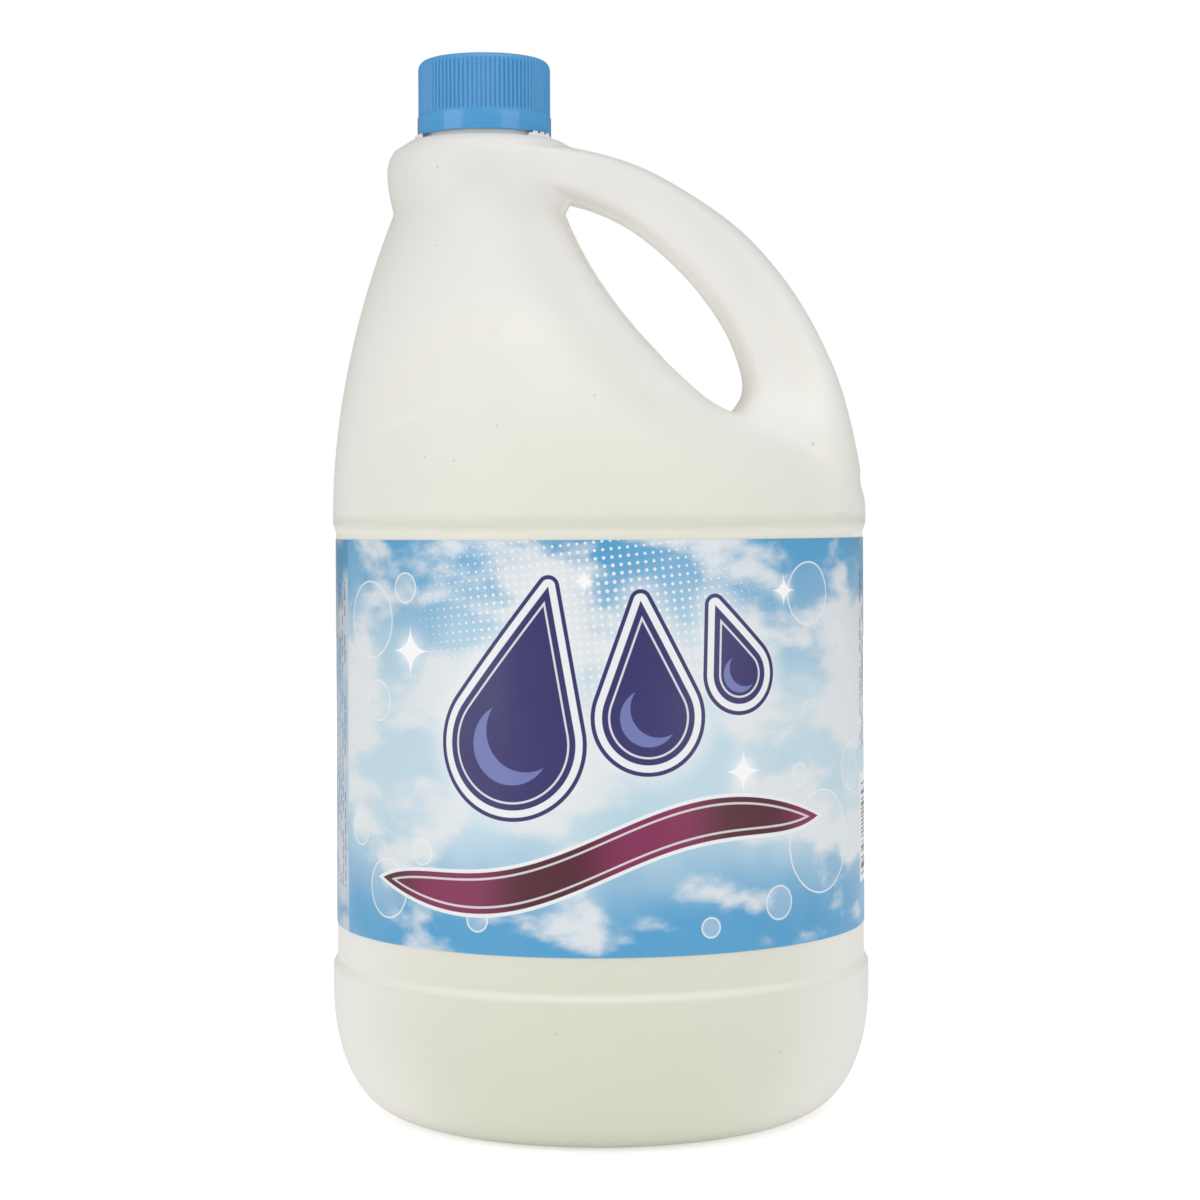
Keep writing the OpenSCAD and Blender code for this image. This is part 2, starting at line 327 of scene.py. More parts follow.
def upper_q(x, z, inset=0.0):
    """Shoulder, head and handle run into each other over soft creases that are wider where the
    form is deep, and narrower at the handle's upper root. No crease reaches the bumper or the
    head's flat top."""
    ends = (0.001 + ease((HEAD_TOP - inset - z) / 7)) * (0.001 + ease((z - SHOULDER_Z) / 8))
    shoulder, head = shoulder_q(x, z, inset), head_q(x, z, inset)
    deep = np.sqrt(np.clip(np.maximum(shoulder, head), 0, None))
    body = soft_max(shoulder, head, (8 + 11 * deep) * ends + 0.001)
    grip = handle_q(x, z, inset)
    deep = np.sqrt(np.clip(np.maximum(body, grip), 0, None))
    wide = mix(1.0, 0.4, ease((z - 238) / 20))
    return soft_max(body, grip, (80 + 16 * deep) * wide * ends + 0.001)


def left_outline(z, inset):
    """The far side's outline in the parting plane, crisp at the waist."""
    field = lambda x, z: upper_q(x, z, inset)
    inside = np.stack([NECK_X - 10 + 0 * z, z], axis=1)
    outside = np.stack([-BUMPER_R - 2 + 0 * z, z], axis=1)
    return crossing(field, inside, outside)


def upper_shell(inset, around, across):
    """Front and back sheets y = +-sqrt(q) over the ring between the hole's outline and the outer
    outline. around holds the cells of the bottom edge, left outline, top edge and right outline,
    and across the cells from the outer outline to the hole, closer at both."""
    field = lambda x, z: upper_q(x, z, inset)
    bottom, left, top, right = around
    ring_r, top_r, top_z = UPPER_R - inset, HEAD_TOP_R - inset, HEAD_TOP - inset
    a = math.pi * np.arange(bottom) / bottom
    low = np.stack([ring_r * np.cos(a), SHOULDER_Z + 0 * a], axis=1)
    rise = np.linspace(SHOULDER_Z, top_z, left + 1)[:-1]
    rise = rise + (WAIST_Z - rise) * np.exp(-((rise - WAIST_Z) / 12) ** 2) * 0.6
    rise[np.argmin(np.abs(rise - WAIST_Z))] = WAIST_Z
    far = left_outline(rise, inset)
    far[0] = [-ring_r, SHOULDER_Z]
    a = math.pi * (1 - np.arange(top) / top)
    high = np.stack([NECK_X + top_r * np.cos(a), top_z + 0 * a], axis=1)
    start = np.array([NECK_X + top_r, top_z]) - HOLE_CENTRE
    end = np.array([ring_r, SHOULDER_Z]) - HOLE_CENTRE
    turn = np.linspace(math.atan2(start[1], start[0]), math.atan2(end[1], end[0]), right + 1)[:-1]
    ray = HOLE_CENTRE + 60 * np.stack([np.cos(turn), np.sin(turn)], axis=1)
    near = grip_side(field, ray, inset)
    near[0] = [NECK_X + top_r, top_z]
    outer = np.vstack([low, far, high, near])
    mouth = crossing(lambda x, z: -field(x, z), np.repeat([HOLE_CENTRE], len(outer), 0),
                     HOLE_CENTRE + (outer - HOLE_CENTRE) * inner_reach(field, outer)[:, None])
    v = (1 - np.cos(math.pi * np.arange(across + 1) / across)) / 2
    place = mix(outer[:, None], mouth[:, None], v[None, :, None])
    x, z = place[..., 0], place[..., 1]
    depth = np.sqrt(np.clip(field(x, z), 0, None))
    flat = np.concatenate([np.sqrt(np.clip(ring_r ** 2 - low[:, 0] ** 2, 0, None)), 0 * far[:, 0],
                           np.sqrt(np.clip(top_r ** 2 - (high[:, 0] - NECK_X) ** 2, 0, None)),
                           0 * near[:, 0]])
    depth[:, 0], depth[:, -1] = flat, 0
    rows = len(outer)
    faces = grid_faces(across + 1, rows, closed=True)
    sheets = [np.stack([x, side * depth, z], axis=2).transpose(1, 0, 2).reshape(-1, 3)
              for side in (-1, 1)]
    return [(sheet, faces) for sheet in sheets], mouth


def inner_reach(field, outer):
    """Share of the way from the hole's centre to an outer point at which plastic is met first."""
    shares = np.linspace(0, 1, 240)[1:]
    p = HOLE_CENTRE + (outer - HOLE_CENTRE)[:, None] * shares[None, :, None]
    solid = field(p[..., 0], p[..., 1]) > 0
    return shares[np.argmax(solid, axis=1)]


def grip_side(field, ray, inset):
    """The handle's outer outline on rays from the hole's centre: the last place with plastic."""
    shares = np.linspace(0, 1.6, 400)
    p = HOLE_CENTRE + (ray - HOLE_CENTRE)[:, None] * shares[None, :, None]
    solid = (field(p[..., 0], p[..., 1]) > 0) & (p[..., 1] < HEAD_TOP - inset)
    solid &= p[..., 1] > SHOULDER_Z
    last = len(shares) - 1 - np.argmax(solid[:, ::-1], axis=1)
    inside = HOLE_CENTRE + (ray - HOLE_CENTRE) * shares[last][:, None]
    outside = HOLE_CENTRE + (ray - HOLE_CENTRE) * shares[last + 1][:, None]
    return crossing(field, inside, outside)


# The turned lower body and the neck


def lower_path(inset):
    """Profile from the middle of the base up to the shoulder, drawn in by inset: raised middle,
    foot ring, corner of a slightly squared ellipse, low bumper, sunk panel and upper bumper."""
    outer, upper, panel = BUMPER_R - inset, UPPER_R - inset, PANEL_R - inset
    base = rounded([[0, PUSH_UP + inset], [FOOT_R - FOOT_W - PUSH_SLOPE, PUSH_UP + inset],
                    [FOOT_R - FOOT_W, inset], [FOOT_R, inset]], [0, 12, 3, 0], 5)
    a = math.pi / 2 * np.linspace(0, 1, 26)[1:-1]
    full = 2 / CORNER_FULL
    corner = np.stack([FOOT_R + (outer - FOOT_R) * np.sin(a) ** full,
                       CORNER_H - (CORNER_H - inset) * np.cos(a) ** full], axis=1)
    side = rounded([[outer, CORNER_H], [outer, LOW_BUMPER_Z - BUMPER_EDGE],
                    [panel, LOW_BUMPER_Z], [panel, PANEL_TOP + inset],
                    [upper, PANEL_TOP + UPPER_EDGE + inset], [upper, SHOULDER_Z]],
                   [0, 2.4, 1.4, 1.2, 3.0, 0], 6)
    return np.vstack([base, corner, side])


def neck_path():
    """Profile from the head's flat top up the outside of the neck, over its rim and down the
    bore to the inner wall."""
    top_r = HEAD_TOP_R - WALL
    return rounded([[HEAD_TOP_R, HEAD_TOP], [COLLAR_R, HEAD_TOP], [COLLAR_R, HEAD_TOP + COLLAR_H],
                    [NECK_R, HEAD_TOP + COLLAR_H + 0.5], [NECK_R, NECK_TOP], [BORE_R, NECK_TOP],
                    [BORE_R, HEAD_TOP - WALL], [top_r, HEAD_TOP - WALL]],
                   [0, 0.5, 0.4, 0.3, 0.5, 0.5, 0, 0], 4)


def thread(radius, height, start, per_turn=48):
    """A bar of tapered section on a helix round the neck's axis, with its ends run out."""
    count = round(THREAD_TURNS * per_turn)
    i = np.arange(count + 1)
    a = 2 * math.pi * i / per_turn
    z = start + THREAD_PITCH * i / per_turn
    out = ease(np.minimum(i, count - i) / (per_turn / 7))
    tip = radius + height * (0.1 + 0.9 * out)
    root = radius - math.copysign(0.4, height) + 0 * a
    section = [(root, -1.1), (mix(root, tip, 0.55), -0.85), (tip, -0.4),
               (tip, 0.4), (mix(root, tip, 0.55), 0.85), (root, 1.1)]
    rings = np.stack([np.stack([NECK_X + r * np.cos(a), r * np.sin(a), z + rise], axis=1)
                      for r, rise in section], axis=1)
    return bar(rings)


def ragged(seed, count):
    """A wavering share from 0 to 1, as torn plastic has: sums of sines of fixed phases."""
    t = np.linspace(0, 1, count)
    phase = seed * 1.7
    wave = (np.sin(23 * t + phase) + 0.7 * np.sin(51 * t + 2.1 * phase)
            + 0.5 * np.sin(97 * t + 0.6 * phase))
    return 0.5 + wave / 4.4


def hole_fin(mouth):
    """Thin fin of flash along the hole's edge on the body's side, 0.5 mm thick and about 1 mm
    wide, that follows the outline of the hole."""
    angle = np.degrees(np.arctan2(*(mouth - HOLE_CENTRE).T[::-1])) % 360
    run = mouth[(angle > 128) & (angle < 296)]
    run = run[np.argsort(angle[(angle > 128) & (angle < 296)])]
    inward = HOLE_CENTRE - run
    inward /= np.linalg.norm(inward, axis=1)[:, None]
    along = np.gradient(run, axis=0)
    along /= np.linalg.norm(along, axis=1)[:, None]
    across = np.stack([-along[:, 1], along[:, 0]], axis=1)
    across *= np.sign(np.sum(across * inward, axis=1))[:, None]
    count = len(run)
    taper = ease(np.minimum(np.arange(count), np.arange(count)[::-1]) / 10)
    width = (0.42 + 0.14 * ragged(3, count)) * taper
    rings = []
    for reach, thick in ((-0.9, 0.35), (1.0, 0.16), (1.0, -0.16), (-0.9, -0.35)):
        place = run + across * (reach * width if reach > 0 else reach + 0 * width)[:, None]
        rings.append(np.stack([place[:, 0], thick + 0 * width, place[:, 1]], axis=1))
    return bar(np.stack(rings, axis=1))


def neck_flash(start, sweep, radius, high, seed):
    """Torn curl of plastic standing on the head beside the neck, of uneven height and bend."""
    count = 40
    a = np.radians(start + sweep * np.linspace(0, 1, count))
    taper = ease(np.minimum(np.arange(count), np.arange(count)[::-1]) / 5)
    top = HEAD_TOP + high * (0.35 + 0.65 * ragged(seed, count)) * taper
    lean = 0.5 * (ragged(seed + 1, count) - 0.4)
    rings = []
    for side, share in ((-0.28, 0), (-0.2, 1), (0.16, 1), (0.28, 0)):
        r = radius + side + lean * share
        z = mix(HEAD_TOP - 0.5, top, share)
        rings.append(np.stack([NECK_X + r * np.cos(a), r * np.sin(a), z + 0 * a], axis=1))
    return bar(np.stack(rings, axis=1))


def bottle_shells():
    """The whole blow moulding: outer skin, neck, inner skin, thread and flash."""
    outer, mouth = upper_shell(0.0, (96, 60, 48, 170), 46)
    inner, _ = upper_shell(WALL, (96, 30, 48, 66), 20)
    shells = outer + inner
    shells.append(turned(lower_path(0.0), 192))
    shells.append(turned(lower_path(WALL), 192))
    shells.append(turned(neck_path(), 96, NECK_X))
    shells.append(thread(NECK_R, THREAD_H, THREAD_Z))
    shells.append(hole_fin(mouth))
    return shells + [neck_flash(*curl) for curl in NECK_CURLS]


# Cap


def cap_shells():
    """Ribbed skirt, smooth band and rounded top over a turned inside. The radius is the profile's
    less a narrow groove between ribs: depth x ((1 - cos) / 2) ** 1.6 of the angle's share."""
    per_rib = 8
    segments = RIB_COUNT * per_rib
    band_top = CAP_BOTTOM + BAND_H
    outside = rounded([[SKIRT_IN_R, CAP_BOTTOM], [BAND_R, CAP_BOTTOM], [BAND_R, band_top],
                       [CAP_R, band_top + 0.15]], [0, 0.3, 0.2, 0], 3)
    foot = np.stack([CAP_R + 0 * np.linspace(0, 1, 6), band_top + 0.25 + 1.1 * np.linspace(0, 1, 6)],
                    axis=1)
    side = np.stack([CAP_R + 0 * np.linspace(0, 1, 5),
                     np.linspace(band_top + 2.2, CAP_TOP - CAP_ROUND, 5)], axis=1)
    a = math.pi / 2 * np.linspace(0, 1, 9)[1:]
    over = np.stack([CAP_R - CAP_ROUND + CAP_ROUND * np.cos(a),
                     CAP_TOP - CAP_ROUND + CAP_ROUND * np.sin(a)], axis=1)
    path = np.vstack([outside, foot, side, over, [[12, CAP_TOP], [6, CAP_TOP], [0, CAP_TOP]]])
    turn = 2 * math.pi * np.arange(segments) / segments
    groove = ((1 - np.cos(turn * RIB_COUNT)) / 2) ** 1.6
    r, z = path[:, 0:1], path[:, 1:2]
    window = ease((z - band_top - 0.25) / 0.9) * ease((CAP_TOP - 0.9 - z) / 1.2)
    window *= (r > CAP_R - CAP_ROUND)
    r = r - RIB_DEPTH * groove * window
    points = np.stack([NECK_X + r * np.cos(turn), r * np.sin(turn), z + 0 * turn], axis=2)
    shell = (points.reshape(-1, 3), grid_faces(len(path), segments, closed=True))
    inside = rounded([[0, CEILING_Z], [CAP_IN_R, CEILING_Z], [CAP_IN_R, SKIRT_TOP],
                      [SKIRT_IN_R, SKIRT_TOP - 0.3], [SKIRT_IN_R, CAP_BOTTOM]],
                     [0, 0.4, 0, 0, 0], 3)
    return [shell, turned(inside, segments, NECK_X),
            thread(CAP_IN_R, -THREAD_H, THREAD_Z - THREAD_PITCH / 2)]


# Label


def label_piece(material):
    """A film wound once round the panel from the seam, with its end lapped under its start. Its
    UV map is the arc length from the front and the height over the label's foot, in metres."""
    count, rows = 361, 9
    turn = SEAM_TURN + np.linspace(0, 2 * math.pi + LAP_TURN, count)
    lift = FILM_T * (1 - ease((turn - SEAM_TURN) / LAP_TURN - 0.6))
    low, high = label_low[2], label_high[2]
    z = np.linspace(low, high, rows)[:, None]
    points, faces = [], []
    for r in (LABEL_R - FILM_T + lift, LABEL_R + lift):
        points.append(np.stack([r * np.sin(turn) + 0 * z, -r * np.cos(turn) + 0 * z,
                                z + 0 * turn], axis=2).reshape(-1, 3))
    outer = np.array(grid_faces(rows, count))
    size = rows * count
    inner = outer[:, ::-1]
    j, i = np.arange(count - 1), np.arange(rows - 1)
    foot = np.stack([j, j + 1, j + 1 + size, j + size], axis=1)
    head = (foot + (rows - 1) * count)[:, ::-1]
    start = np.stack([i * count, i * count + size, (i + 1) * count + size, (i + 1) * count], axis=1)
    end = (start + count - 1)[:, ::-1]
    faces = np.vstack([outer + size, inner, foot, head, start, end]).tolist()
    mesh = bpy.data.meshes.new("label_film")
    mesh.from_pydata((np.vstack(points) * MM).tolist(), [], faces)
    around = np.tile(np.tile(turn * LABEL_R, rows), 2)
    height = np.tile(np.repeat(z.ravel() - low, count), 2)
    loop = np.zeros(len(mesh.loops), np.int32)
    mesh.loops.foreach_get("vertex_index", loop)
    layer = mesh.uv_layers.new(name="print")
    layer.data.foreach_set("uv", (np.stack([around[loop], height[loop]], axis=1) * MM).ravel())
    add_piece(mesh, material, "bottle", ["label"], 30)


# Materials


class Sheet:
    """A node tree with short calls for the nodes that the materials here use."""

    def __init__(self, tree):
        self.tree = tree

    def add(self, kind, inputs=(), **settings):
        node = self.tree.nodes.new(kind)
        for key, value in settings.items():
            setattr(node, key, value)
        for key, value in dict(inputs).items():
            self.feed(node.inputs[key], value)
        return node

    def feed(self, socket, value):
        if isinstance(value, bpy.types.NodeSocket):
            self.tree.links.new(value, socket)
        elif isinstance(value, bpy.types.Node):
            self.tree.links.new(value.outputs[0], socket)
        else:
            socket.default_value = value

    def math(self, operation, *values, clamp=False):
        return self.add("ShaderNodeMath", dict(enumerate(values)), operation=operation,
                        use_clamp=clamp).outputs[0]

    def times(self, first, *others):
        for other in others:
            first = self.math("MULTIPLY", first, other)
        return first

    def plus(self, a, b):
        return self.math("ADD", a, b)

    def minus(self, a, b, clamp=False):
        return self.math("SUBTRACT", a, b, clamp=clamp)

    def size(self, a):
        return self.math("ABSOLUTE", a)

    def ramp(self, value, low, high, to_low=0.0, to_high=1.0):
        """A smooth step of a value between two limits."""
        return self.add("ShaderNodeMapRange", {0: value, 1: low, 2: high, 3: to_low, 4: to_high},
                        interpolation_type="SMOOTHSTEP").outputs[0]

    def blend(self, share, a, b, mode="MIX"):
        """Two colours mixed by a share."""
        node = self.add("ShaderNodeMix", data_type="RGBA", blend_type=mode)
        self.feed(node.inputs[0], share)
        self.feed(node.inputs[6], a)
        self.feed(node.inputs[7], b)
        return node.outputs[2]

    def over(self, tone, mask, shade, share=1.0):
        """A colour with a shade of 0 to 255 values laid over it where a mask says so."""
        mask = self.times(mask, share) if share < 1 else mask
        return self.blend(mask, tone, colour(*shade))

    def vector(self, operation, a, b, out=0):
        return self.add("ShaderNodeVectorMath", {0: a, 1: b}, operation=operation).outputs[out]

    def place(self):
        """The place on the object, in metres."""
        return self.add("ShaderNodeTexCoord").outputs["Object"]

    def parts(self, vector):
        return self.add("ShaderNodeSeparateXYZ", {0: vector}).outputs

    def flat(self, x, y):
        """A place from two values."""
        return self.add("ShaderNodeCombineXYZ", {0: x, 1: y})

    def turn(self, vector, centre, angle, axis="Z_AXIS"):
        """A place turned about a centre."""
        return self.add("ShaderNodeVectorRotate", {"Vector": vector, "Center": centre,
                        "Angle": angle}, rotation_type=axis)

    def finish(self, shader, tone, rough, height, strength, distance):
        """Colour, roughness and bump for the shader."""
        bump = self.add("ShaderNodeBump", {"Strength": strength, "Distance": distance,
                                           "Height": height})
        for title, value in (("Base Color", tone), ("Roughness", rough), ("Normal", bump)):
            self.feed(shader.inputs[title], value)

    def group(self, tree, *values):
        """A group with its inputs in order. A value given as None keeps the group's own."""
        node = self.add("ShaderNodeGroup", node_tree=tree)
        for socket, value in zip(node.inputs, values):
            if value is not None:
                self.feed(socket, value)
        return node.outputs

    def most(self, masks):
        """The largest of many masks."""
        total = masks[0]
        for mask in masks[1:]:
            total = self.math("MAXIMUM", total, mask)
        return total

    def noise(self, vector, scale, detail=2.0, rough=0.5, flat=False):
        return self.add("ShaderNodeTexNoise", {"Vector": vector, "Scale": scale, "Detail": detail,
                        "Roughness": rough}, noise_dimensions="2D" if flat else "3D").outputs[0]


def colour(r, g, b):
    """A colour seen as 0 to 255 values, as linear light."""
    part = [v / 255 for v in (r, g, b)]
    return tuple(v / 12.92 if v <= 0.04045 else ((v + 0.055) / 1.055) ** 2.4 for v in part) + (1.0,)


def new_material(name):
    """An empty material with its sheet and Principled shader."""
    material = bpy.data.materials.new(name)
    material.use_nodes = True
    sheet = Sheet(material.node_tree)
    shader = material.node_tree.nodes["Principled BSDF"]
    return material, sheet, shader


def new_group(name, inputs, outputs):
    """An empty node group: its tree, its sheet, what it is given and what it hands out. Inputs
    called Place or Centre are vectors, and all the others are plain values."""
    tree = bpy.data.node_groups.new(name, "ShaderNodeTree")
    for title in inputs:
        kind = "NodeSocketVector" if title in ("Place", "Centre") else "NodeSocketFloat"
        tree.interface.new_socket(title, in_out="INPUT", socket_type=kind)
    for title in outputs:
        tree.interface.new_socket(title, in_out="OUTPUT", socket_type="NodeSocketFloat")
    sheet = Sheet(tree)
    return (tree, sheet, sheet.add("NodeGroupInput").outputs, sheet.add("NodeGroupOutput").inputs)


def moulded_grain():
    """Group: fine unevenness of moulded plastic, as a height and a mottle from 0 to 1."""
    tree, sheet, given, out = new_group("moulded_grain", ("Fine Scale", "Broad Scale"),
                                        ("Height", "Mottle"))
    place = sheet.place()
    fine = sheet.noise(place, given[0], 3.0, 0.6)
    broad = sheet.noise(place, given[1], 3.0, 0.55)
    sheet.feed(out[0], sheet.plus(sheet.times(fine, 0.4), broad))
    sheet.feed(out[1], broad)
    return tree


def print_circle():
    """Group: a disc and a thin ring about a centre, as masks, all in millimetres."""
    tree, sheet, given, out = new_group("print_circle", ("Place", "Centre", "Radius", "Line"),
                                        ("Disc", "Ring"))
    edge = sheet.minus(sheet.vector("DISTANCE", given[0], given[1], 1), given[2])
    half = sheet.times(given[3], 0.5)
    sheet.feed(out[0], sheet.ramp(edge, 0.12, -0.12))
    sheet.feed(out[1], sheet.ramp(sheet.minus(sheet.size(edge), half), 0.12, -0.12))
    return tree


def print_drop():
    """Group: signed distance to a drop. Its lower part is a circle about the centre, and two
    straight tangents run from the circle to a point at the given height over the centre."""
    tree, sheet, given, out = new_group("print_drop", ("Place", "Centre", "Tilt", "Radius",
                                                       "Height"), ("Distance",))
    shifted = sheet.vector("SUBTRACT", given[0], given[1])
    turned_place = sheet.turn(shifted, (0, 0, 0), given[2])
    parts = sheet.parts(turned_place)
    x, y = sheet.size(parts[0]), parts[1]
    radius, high = given[3], given[4]
    b = sheet.math("DIVIDE", radius, high)
    a = sheet.math("SQRT", sheet.minus(1.0, sheet.times(b, b)))
    along = sheet.minus(sheet.times(y, a), sheet.times(x, b))
    side = sheet.plus(sheet.times(x, a), sheet.times(y, b))
    side = sheet.minus(side, radius)
    circle = sheet.minus(sheet.vector("LENGTH", sheet.flat(x, y), (0, 0, 0), 1), radius)
    point = sheet.vector("LENGTH", sheet.flat(x, sheet.minus(y, high)), (0, 0, 0), 1)
    past = sheet.math("GREATER_THAN", along, sheet.times(a, high))
    tall = sheet.math("GREATER_THAN", along, 0.0)
    near = sheet.plus(sheet.times(tall, side), sheet.times(sheet.minus(1.0, tall), circle))
    sheet.feed(out[0], sheet.plus(sheet.times(past, point),
                                  sheet.times(sheet.minus(1.0, past), near)))
    return tree


def print_sparkle():
    """Group: a four pointed star, where the roots of both distances add up to less than the
    root of the size, and the glow round it."""
    tree, sheet, given, out = new_group("print_sparkle", ("Place", "Centre", "Size"),
                                        ("Star", "Glow"))
    away = sheet.vector("ABSOLUTE", sheet.vector("SUBTRACT", given[0], given[1]), (0, 0, 0))
    parts = sheet.parts(away)
    roots = sheet.plus(sheet.math("SQRT", sheet.math("DIVIDE", parts[0], given[2])),
                       sheet.math("SQRT", sheet.math("DIVIDE", parts[1], given[2])))
    reach = sheet.math("DIVIDE", sheet.vector("DISTANCE", given[0], given[1], 1), given[2])
    sheet.feed(out[0], sheet.ramp(roots, 1.02, 0.94))
    sheet.feed(out[1], sheet.math("POWER", sheet.ramp(reach, 1.3, 0.0), 2.0))
    return tree


def print_strokes():
    """Group: rows of short bars with gaps, as a mask. The rows run along the place's x, and one
    bar in five is left out by a hash of its row and number."""
    tree, sheet, given, out = new_group("print_strokes", ("Place", "Row", "Bar"), ("Stroke",))
    parts = sheet.parts(given[0])
    y = sheet.math("DIVIDE", parts[1], given[1])
    row = sheet.math("FLOOR", y)
    x = sheet.plus(sheet.math("DIVIDE", parts[0], given[2]), sheet.times(row, 0.37))
    number = sheet.math("FLOOR", x)
    pair = sheet.flat(number, row)
    hash_value = sheet.add("ShaderNodeTexWhiteNoise", {"Vector": pair},
                           noise_dimensions="2D").outputs[0]
    kept = sheet.math("GREATER_THAN", hash_value, 0.2)
    high = sheet.math("LESS_THAN", sheet.size(sheet.minus(sheet.math("FRACT", y), 0.5)), 0.2)
    long = sheet.math("LESS_THAN", sheet.math("FRACT", x),
                      sheet.plus(0.62, sheet.times(hash_value, 0.28)))
    sheet.feed(out[0], sheet.times(kept, sheet.times(high, long)))
    return tree


# Marks on the bottle's front, as round and up places in millimetres: dark specks with their
# radius, and soft smudges with theirs
SPECKS = [(59.7, 189.9, 0.5), (-47.0, 186.3, 0.3), (-38.8, 185.0, 0.25), (-27.2, 194.3, 0.3),
          (-1.1, 202.3, 0.3), (-45.2, 245.7, 0.25), (-45.2, 268.7, 0.3), (31.5, 261.5, 0.25),
          (-12.0, 34.0, 0.3), (48.0, 26.0, 0.25)]
SMUDGES = [(-25.8, 225.4, 4.5), (-35.0, 265.4, 4.0), (-28.0, 221.0, 3.0)]


# The handle's hole as an ellipse across the mould, in metres, for the painted light round it:
# middle, turn and half lengths
HOLE_MIDDLE = (0.017, 0, 0.232)
HOLE_TURN = math.radians(-52)
HOLE_LONG, HOLE_WIDE = 0.035, 0.013
# White scrap of film over the label's right end, in metres: place and half size, round and up
SCRAP_X, SCRAP_X_HALF = 0.0735, 0.0021
SCRAP_Z, SCRAP_Z_HALF = 0.1647, 0.0008
# Painted shade and highlight lines along the bumpers' edges (a shadow line under the upper bumper, a
# highlight below it and one on the low bumper's ledge): height, reach, share and colour
BUMPER_PAINTED_LINES = [(168.2, 3.2, 0.45, (212, 212, 190)), (165.6, 1.5, 0.45, (240, 240, 226)),
                (43.2, 1.7, 0.6, (250, 250, 238))]


def bottle_marks(sheet, parts, tint, circle):
    """Specks, smudges and one faint scuff on the front."""
    front = sheet.math("LESS_THAN", parts[1], 0.0)
    flat = sheet.flat(parts[0], parts[2])
    place = sheet.vector("MULTIPLY", flat, (1000, 1000, 0))
    specks = sheet.most([sheet.group(circle, place, (x, z, 0), r, 0.1)[0] for x, z, r in SPECKS])
    tint = sheet.over(tint, sheet.times(specks, front), (118, 112, 104), 0.3)
    soft = sheet.most([sheet.ramp(sheet.vector("DISTANCE", place, (x, z, 0), 1), r, 0.5)
                       for x, z, r in SMUDGES])
    cloudy = sheet.ramp(sheet.noise(place, 0.8, 4.0, 0.65), 0.25, 0.75)
    soft = sheet.times(soft, cloudy, front)
    tint = sheet.over(tint, soft, (176, 172, 162), 0.10)
    leaning = sheet.turn(place, (-50, 197.6, 0), math.radians(-18))
    run = sheet.parts(leaning)
    scuff = sheet.ramp(sheet.size(sheet.minus(run[1], 197.6)), 2.2, 0.0)
    ends = sheet.ramp(sheet.size(sheet.plus(run[0], 50.0)), 19, 11)
    scuff = sheet.times(scuff, ends, front)
    return sheet.over(tint, scuff, (247, 246, 242), 0.2)


def bottle_material(grain, circle):
    """Milky plastic. It is tinted yellow green where the liquid stands behind it. The tint fades
    towards the sides as painted light through the side walls, and deepens towards the bottom at the
    front and back, partly as painted shade. Painted light whitens it round the hole, on the hole's
    thin edges and on the neck, and painted shade and highlight lines run along the bumpers' edges."""
    material, sheet, shader = new_material("milky_plastic")
    place = sheet.place()
    parts = sheet.parts(place)
    height = parts[2]
    group = sheet.group(grain, 900.0, 45.0)
    beside = sheet.size(parts[1])
    # Painted light: the tint is kept at the front and back and fades towards the sides, standing in
    # for light that comes through the side walls.
    thin = sheet.ramp(beside, 0.026, 0.080, 0.1, 1.0)
    liquid_tint_and_side_light = sheet.times(sheet.ramp(height, 0.262, 0.150), thin)
    # Darker towards the bottom at the front and back: partly the liquid's tint, partly painted
    # shade.
    low = sheet.times(sheet.ramp(height, 0.120, 0.0), sheet.ramp(beside, 0.042, 0.078))
    dry = sheet.blend(sheet.ramp(height, 0.200, 0.262), colour(244, 242, 236),
                      colour(233, 231, 226))
    tint = sheet.over(dry, liquid_tint_and_side_light, (231, 231, 217))
    tint = sheet.over(tint, low, (221, 222, 204))
    # Painted light: whiter colour round the handle's hole and on the neck above the head, lifting
    # the shade that falls there.
    turned_place = sheet.turn(place, HOLE_MIDDLE, HOLE_TURN, "Y_AXIS")
    away = sheet.vector("MULTIPLY", sheet.vector("SUBTRACT", turned_place, HOLE_MIDDLE),
                        (1 / HOLE_LONG, 0, 1 / HOLE_WIDE))
    away = sheet.vector("LENGTH", away, (0, 0, 0), 1)
    rim = sheet.ramp(away, 2.1, 1.1, 0.0, 0.6)
    neck_painted_light = sheet.ramp(height, 0.2785, 0.2800)
    tint = sheet.over(tint, sheet.math("MAXIMUM", rim, neck_painted_light), (247, 245, 241))
    # Painted light: whiter still on the hole's thin edges, where the hole's shade falls.
    hole_edge_painted_light = sheet.times(sheet.ramp(away, 1.9, 1.3), sheet.ramp(beside, 0.0115, 0.006))
    tint = sheet.over(tint, hole_edge_painted_light, (255, 254, 250))
    # Painted shade and highlight lines along the bumpers' edges.
    for level, reach, share, tone in BUMPER_PAINTED_LINES:
        line = sheet.ramp(sheet.size(sheet.minus(height, level * MM)), reach * MM, 0.0, 0.0, share)
        tint = sheet.over(tint, line, tone)
    patch = sheet.times(sheet.math("COMPARE", parts[0], SCRAP_X, SCRAP_X_HALF),
                        sheet.math("COMPARE", height, SCRAP_Z, SCRAP_Z_HALF),
                        sheet.math("LESS_THAN", parts[1], 0.0))
    tint = sheet.blend(patch, tint, (1, 1, 1, 1))
    mottle = sheet.ramp(group[1], 0.35, 0.65, 0.0, 0.05)
    tint = sheet.over(tint, mottle, (205, 206, 190))
    tint = bottle_marks(sheet, parts, tint, circle)
    seam = sheet.ramp(beside, 0.00045, 0.0001)
    tint = sheet.over(tint, seam, (206, 205, 192), 0.25)
    high = sheet.plus(group[0], sheet.times(seam, 1.5))
    sheet.finish(shader, tint, sheet.ramp(group[1], 0.3, 0.7, 0.40, 0.50), high, 0.2, 0.0002)
    return material


